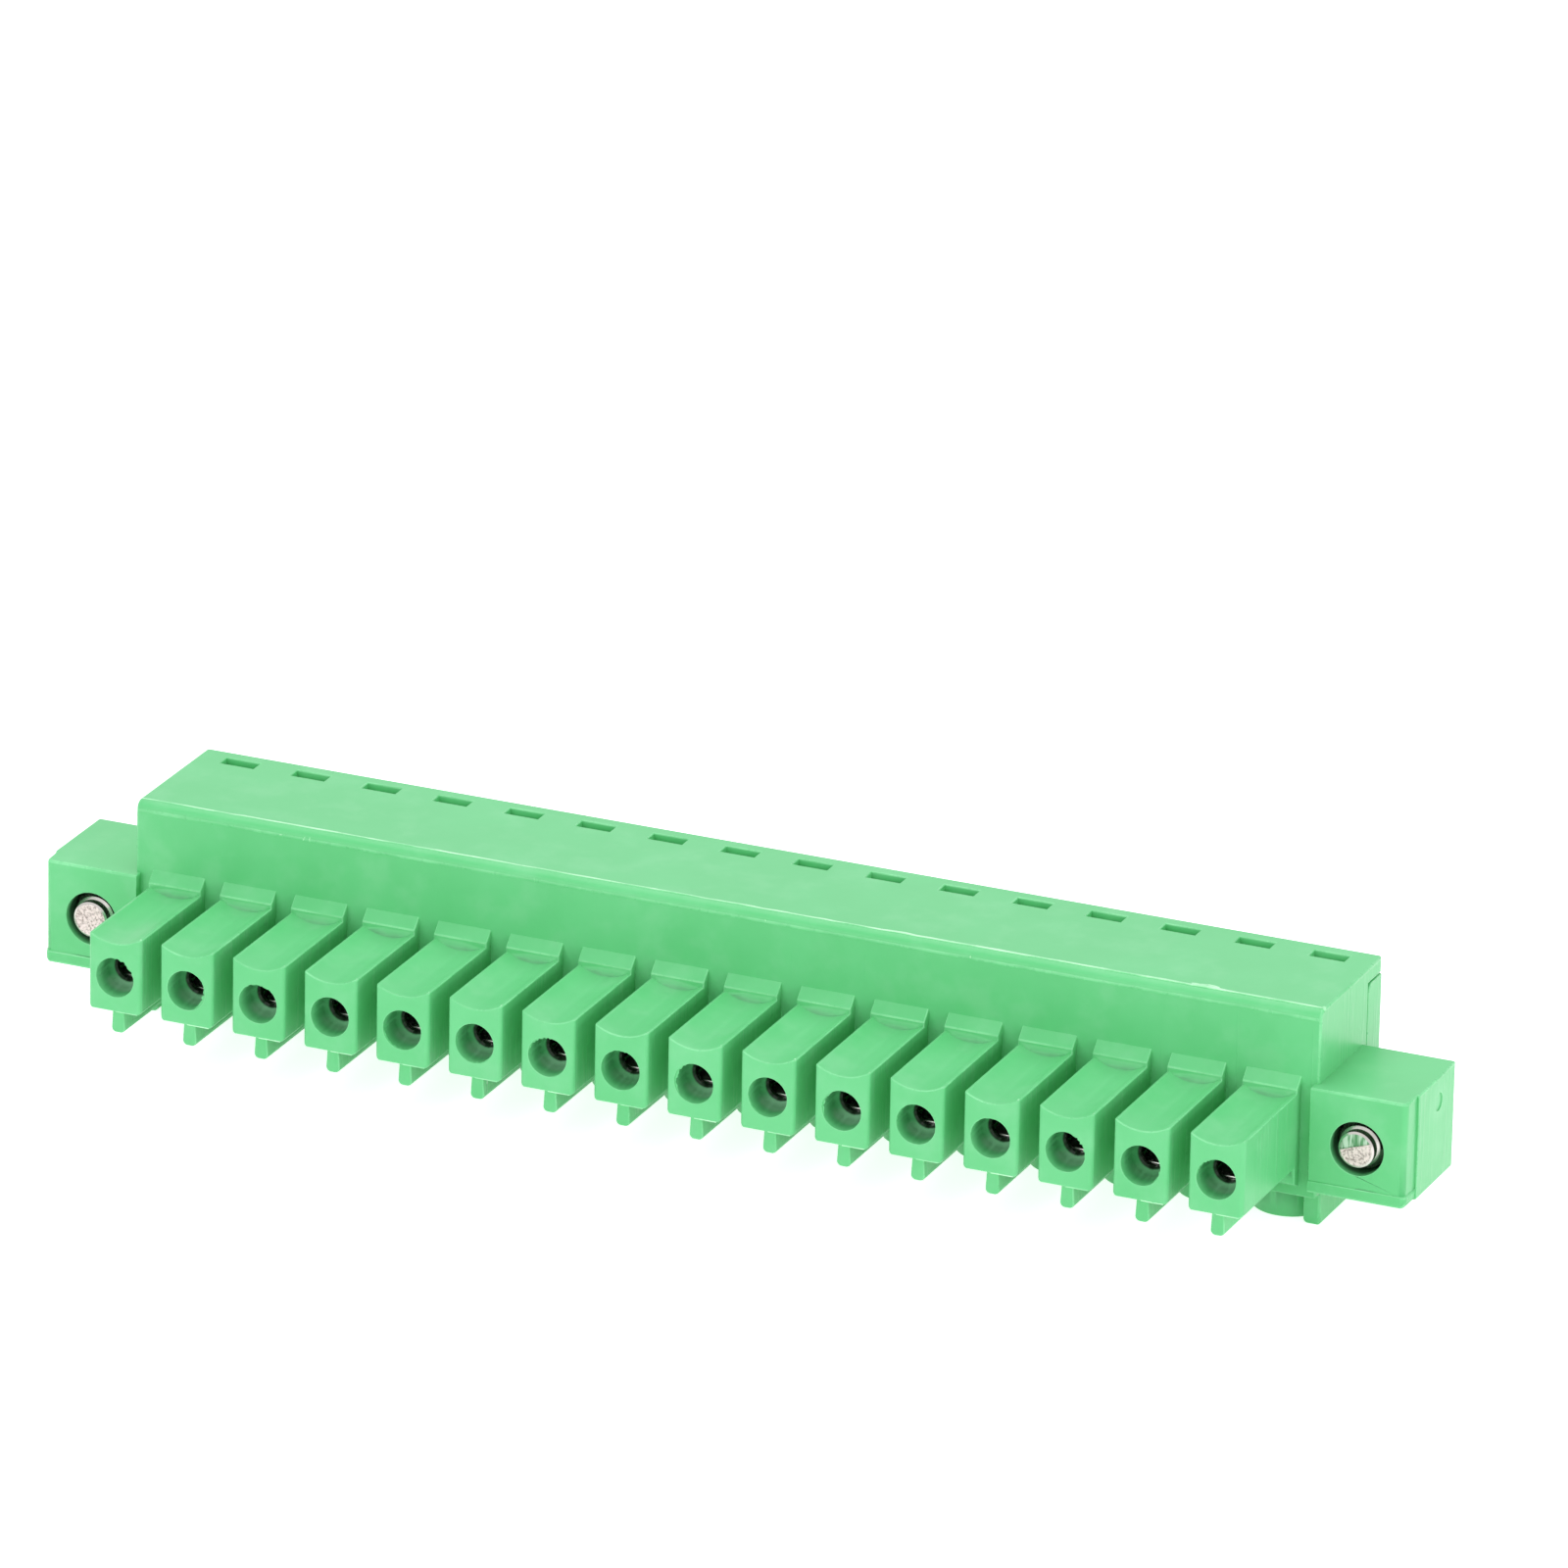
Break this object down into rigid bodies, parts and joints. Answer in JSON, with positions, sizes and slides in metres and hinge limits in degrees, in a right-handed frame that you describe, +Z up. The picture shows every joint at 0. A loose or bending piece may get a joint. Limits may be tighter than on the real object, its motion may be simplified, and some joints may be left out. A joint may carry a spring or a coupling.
{
  "type": "pluggable terminal block",
  "caption": "Long pluggable terminal block: a row of square contact fingers on a body of wire clamps, with a captive lock screw in a flange at each end.",
  "frame": {"origin": "middle of the base, under the middle of the plug's length and depth", "axes": "+X along the row of poles, -Y the way the fingers point, +Z up from the screw side to the plain top"},
  "size_m": [0.0712, 0.015, 0.0111],
  "materials": {
    "housing_plastic": "satin moulded, light green",
    "cover_plastic": "satin moulded, light green",
    "tinned_contact": "tin plated",
    "cage_steel": "zinc plated",
    "clamp_screw_steel": "nickel plated",
    "lock_screw_nickel": "nickel plated, bright",
    "washer_steel": "zinc plated"
  },
  "bodies": {
    "plug": {"housing": "housing_plastic", "rear_cover": "cover_plastic", "contact_01": "tinned_contact", "contact_02": "tinned_contact", "contact_03": "tinned_contact", "contact_04": "tinned_contact", "contact_05": "tinned_contact", "contact_06": "tinned_contact", "contact_07": "tinned_contact", "contact_08": "tinned_contact", "contact_09": "tinned_contact", "contact_10": "tinned_contact", "contact_11": "tinned_contact", "contact_12": "tinned_contact", "contact_13": "tinned_contact", "contact_14": "tinned_contact", "contact_15": "tinned_contact", "contact_16": "tinned_contact"},
    "clamp_screw_01": {"clamp_screw_01": "clamp_screw_steel"},
    "clamp_cage_01": {"clamp_cage_01": "cage_steel"},
    "clamp_screw_02": {"clamp_screw_02": "clamp_screw_steel"},
    "clamp_cage_02": {"clamp_cage_02": "cage_steel"},
    "clamp_screw_03": {"clamp_screw_03": "clamp_screw_steel"},
    "clamp_cage_03": {"clamp_cage_03": "cage_steel"},
    "clamp_screw_04": {"clamp_screw_04": "clamp_screw_steel"},
    "clamp_cage_04": {"clamp_cage_04": "cage_steel"},
    "clamp_screw_05": {"clamp_screw_05": "clamp_screw_steel"},
    "clamp_cage_05": {"clamp_cage_05": "cage_steel"},
    "clamp_screw_06": {"clamp_screw_06": "clamp_screw_steel"},
    "clamp_cage_06": {"clamp_cage_06": "cage_steel"},
    "clamp_screw_07": {"clamp_screw_07": "clamp_screw_steel"},
    "clamp_cage_07": {"clamp_cage_07": "cage_steel"},
    "clamp_screw_08": {"clamp_screw_08": "clamp_screw_steel"},
    "clamp_cage_08": {"clamp_cage_08": "cage_steel"},
    "clamp_screw_09": {"clamp_screw_09": "clamp_screw_steel"},
    "clamp_cage_09": {"clamp_cage_09": "cage_steel"},
    "clamp_screw_10": {"clamp_screw_10": "clamp_screw_steel"},
    "clamp_cage_10": {"clamp_cage_10": "cage_steel"},
    "clamp_screw_11": {"clamp_screw_11": "clamp_screw_steel"},
    "clamp_cage_11": {"clamp_cage_11": "cage_steel"},
    "clamp_screw_12": {"clamp_screw_12": "clamp_screw_steel"},
    "clamp_cage_12": {"clamp_cage_12": "cage_steel"},
    "clamp_screw_13": {"clamp_screw_13": "clamp_screw_steel"},
    "clamp_cage_13": {"clamp_cage_13": "cage_steel"},
    "clamp_screw_14": {"clamp_screw_14": "clamp_screw_steel"},
    "clamp_cage_14": {"clamp_cage_14": "cage_steel"},
    "clamp_screw_15": {"clamp_screw_15": "clamp_screw_steel"},
    "clamp_cage_15": {"clamp_cage_15": "cage_steel"},
    "clamp_screw_16": {"clamp_screw_16": "clamp_screw_steel"},
    "clamp_cage_16": {"clamp_cage_16": "cage_steel"},
    "lock_washer_left": {"lock_washer_left": "washer_steel"},
    "lock_screw_left": {"lock_screw_left": "lock_screw_nickel"},
    "lock_washer_right": {"lock_washer_right": "washer_steel"},
    "lock_screw_right": {"lock_screw_right": "lock_screw_nickel"}
  },
  "joints": [
    {"name": "clamp_screw_01_turn", "type": "hinge", "parent": "plug", "child": "clamp_screw_01", "pos_m": [-0.02857, 0.0023, 0.00134], "axis": [0, 0, -1], "range_deg": [0, 1710]},
    {"name": "clamp_cage_01_lift", "type": "slide", "parent": "plug", "child": "clamp_cage_01", "axis": [0, 0, 1], "range_m": [0, 0.0019]},
    {"name": "clamp_screw_02_turn", "type": "hinge", "parent": "plug", "child": "clamp_screw_02", "pos_m": [-0.02476, 0.0023, 0.00134], "axis": [0, 0, -1], "range_deg": [0, 1710]},
    {"name": "clamp_cage_02_lift", "type": "slide", "parent": "plug", "child": "clamp_cage_02", "axis": [0, 0, 1], "range_m": [0, 0.0019]},
    {"name": "clamp_screw_03_turn", "type": "hinge", "parent": "plug", "child": "clamp_screw_03", "pos_m": [-0.02096, 0.0023, 0.00134], "axis": [0, 0, -1], "range_deg": [0, 1710]},
    {"name": "clamp_cage_03_lift", "type": "slide", "parent": "plug", "child": "clamp_cage_03", "axis": [0, 0, 1], "range_m": [0, 0.0019]},
    {"name": "clamp_screw_04_turn", "type": "hinge", "parent": "plug", "child": "clamp_screw_04", "pos_m": [-0.01715, 0.0023, 0.00134], "axis": [0, 0, -1], "range_deg": [0, 1710]},
    {"name": "clamp_cage_04_lift", "type": "slide", "parent": "plug", "child": "clamp_cage_04", "axis": [0, 0, 1], "range_m": [0, 0.0019]},
    {"name": "clamp_screw_05_turn", "type": "hinge", "parent": "plug", "child": "clamp_screw_05", "pos_m": [-0.01333, 0.0023, 0.00134], "axis": [0, 0, -1], "range_deg": [0, 1710]},
    {"name": "clamp_cage_05_lift", "type": "slide", "parent": "plug", "child": "clamp_cage_05", "axis": [0, 0, 1], "range_m": [0, 0.0019]},
    {"name": "clamp_screw_06_turn", "type": "hinge", "parent": "plug", "child": "clamp_screw_06", "pos_m": [-0.00953, 0.0023, 0.00134], "axis": [0, 0, -1], "range_deg": [0, 1710]},
    {"name": "clamp_cage_06_lift", "type": "slide", "parent": "plug", "child": "clamp_cage_06", "axis": [0, 0, 1], "range_m": [0, 0.0019]},
    {"name": "clamp_screw_07_turn", "type": "hinge", "parent": "plug", "child": "clamp_screw_07", "pos_m": [-0.00571, 0.0023, 0.00134], "axis": [0, 0, -1], "range_deg": [0, 1710]},
    {"name": "clamp_cage_07_lift", "type": "slide", "parent": "plug", "child": "clamp_cage_07", "axis": [0, 0, 1], "range_m": [0, 0.0019]},
    {"name": "clamp_screw_08_turn", "type": "hinge", "parent": "plug", "child": "clamp_screw_08", "pos_m": [-0.00191, 0.0023, 0.00134], "axis": [0, 0, -1], "range_deg": [0, 1710]},
    {"name": "clamp_cage_08_lift", "type": "slide", "parent": "plug", "child": "clamp_cage_08", "axis": [0, 0, 1], "range_m": [0, 0.0019]},
    {"name": "clamp_screw_09_turn", "type": "hinge", "parent": "plug", "child": "clamp_screw_09", "pos_m": [0.00191, 0.0023, 0.00134], "axis": [0, 0, -1], "range_deg": [0, 1710]},
    {"name": "clamp_cage_09_lift", "type": "slide", "parent": "plug", "child": "clamp_cage_09", "axis": [0, 0, 1], "range_m": [0, 0.0019]},
    {"name": "clamp_screw_10_turn", "type": "hinge", "parent": "plug", "child": "clamp_screw_10", "pos_m": [0.00571, 0.0023, 0.00134], "axis": [0, 0, -1], "range_deg": [0, 1710]},
    {"name": "clamp_cage_10_lift", "type": "slide", "parent": "plug", "child": "clamp_cage_10", "axis": [0, 0, 1], "range_m": [0, 0.0019]},
    {"name": "clamp_screw_11_turn", "type": "hinge", "parent": "plug", "child": "clamp_screw_11", "pos_m": [0.00953, 0.0023, 0.00134], "axis": [0, 0, -1], "range_deg": [0, 1710]},
    {"name": "clamp_cage_11_lift", "type": "slide", "parent": "plug", "child": "clamp_cage_11", "axis": [0, 0, 1], "range_m": [0, 0.0019]},
    {"name": "clamp_screw_12_turn", "type": "hinge", "parent": "plug", "child": "clamp_screw_12", "pos_m": [0.01333, 0.0023, 0.00134], "axis": [0, 0, -1], "range_deg": [0, 1710]},
    {"name": "clamp_cage_12_lift", "type": "slide", "parent": "plug", "child": "clamp_cage_12", "axis": [0, 0, 1], "range_m": [0, 0.0019]},
    {"name": "clamp_screw_13_turn", "type": "hinge", "parent": "plug", "child": "clamp_screw_13", "pos_m": [0.01715, 0.0023, 0.00134], "axis": [0, 0, -1], "range_deg": [0, 1710]},
    {"name": "clamp_cage_13_lift", "type": "slide", "parent": "plug", "child": "clamp_cage_13", "axis": [0, 0, 1], "range_m": [0, 0.0019]},
    {"name": "clamp_screw_14_turn", "type": "hinge", "parent": "plug", "child": "clamp_screw_14", "pos_m": [0.02096, 0.0023, 0.00134], "axis": [0, 0, -1], "range_deg": [0, 1710]},
    {"name": "clamp_cage_14_lift", "type": "slide", "parent": "plug", "child": "clamp_cage_14", "axis": [0, 0, 1], "range_m": [0, 0.0019]},
    {"name": "clamp_screw_15_turn", "type": "hinge", "parent": "plug", "child": "clamp_screw_15", "pos_m": [0.02476, 0.0023, 0.00134], "axis": [0, 0, -1], "range_deg": [0, 1710]},
    {"name": "clamp_cage_15_lift", "type": "slide", "parent": "plug", "child": "clamp_cage_15", "axis": [0, 0, 1], "range_m": [0, 0.0019]},
    {"name": "clamp_screw_16_turn", "type": "hinge", "parent": "plug", "child": "clamp_screw_16", "pos_m": [0.02857, 0.0023, 0.00134], "axis": [0, 0, -1], "range_deg": [0, 1710]},
    {"name": "clamp_cage_16_lift", "type": "slide", "parent": "plug", "child": "clamp_cage_16", "axis": [0, 0, 1], "range_m": [0, 0.0019]},
    {"name": "lock_screw_left_float", "type": "slide", "parent": "plug", "child": "lock_washer_left", "axis": [0, -1, 0], "range_m": [0, 0.0027]},
    {"name": "lock_screw_left_turn", "type": "hinge", "parent": "lock_washer_left", "child": "lock_screw_left", "pos_m": [-0.03306, 0.0015, 0.00474], "axis": [0, -1, 0], "continuous": true},
    {"name": "lock_screw_right_float", "type": "slide", "parent": "plug", "child": "lock_washer_right", "axis": [0, -1, 0], "range_m": [0, 0.0027]},
    {"name": "lock_screw_right_turn", "type": "hinge", "parent": "lock_washer_right", "child": "lock_screw_right", "pos_m": [0.03306, 0.0015, 0.00474], "axis": [0, -1, 0], "continuous": true}
  ],
  "couplings": [
    {"joint": "clamp_screw_01_turn", "follows": "clamp_cage_01_lift", "rad_per_m": 15708},
    {"joint": "clamp_screw_02_turn", "follows": "clamp_cage_02_lift", "rad_per_m": 15708},
    {"joint": "clamp_screw_03_turn", "follows": "clamp_cage_03_lift", "rad_per_m": 15708},
    {"joint": "clamp_screw_04_turn", "follows": "clamp_cage_04_lift", "rad_per_m": 15708},
    {"joint": "clamp_screw_05_turn", "follows": "clamp_cage_05_lift", "rad_per_m": 15708},
    {"joint": "clamp_screw_06_turn", "follows": "clamp_cage_06_lift", "rad_per_m": 15708},
    {"joint": "clamp_screw_07_turn", "follows": "clamp_cage_07_lift", "rad_per_m": 15708},
    {"joint": "clamp_screw_08_turn", "follows": "clamp_cage_08_lift", "rad_per_m": 15708},
    {"joint": "clamp_screw_09_turn", "follows": "clamp_cage_09_lift", "rad_per_m": 15708},
    {"joint": "clamp_screw_10_turn", "follows": "clamp_cage_10_lift", "rad_per_m": 15708},
    {"joint": "clamp_screw_11_turn", "follows": "clamp_cage_11_lift", "rad_per_m": 15708},
    {"joint": "clamp_screw_12_turn", "follows": "clamp_cage_12_lift", "rad_per_m": 15708},
    {"joint": "clamp_screw_13_turn", "follows": "clamp_cage_13_lift", "rad_per_m": 15708},
    {"joint": "clamp_screw_14_turn", "follows": "clamp_cage_14_lift", "rad_per_m": 15708},
    {"joint": "clamp_screw_15_turn", "follows": "clamp_cage_15_lift", "rad_per_m": 15708},
    {"joint": "clamp_screw_16_turn", "follows": "clamp_cage_16_lift", "rad_per_m": 15708}
  ]
}
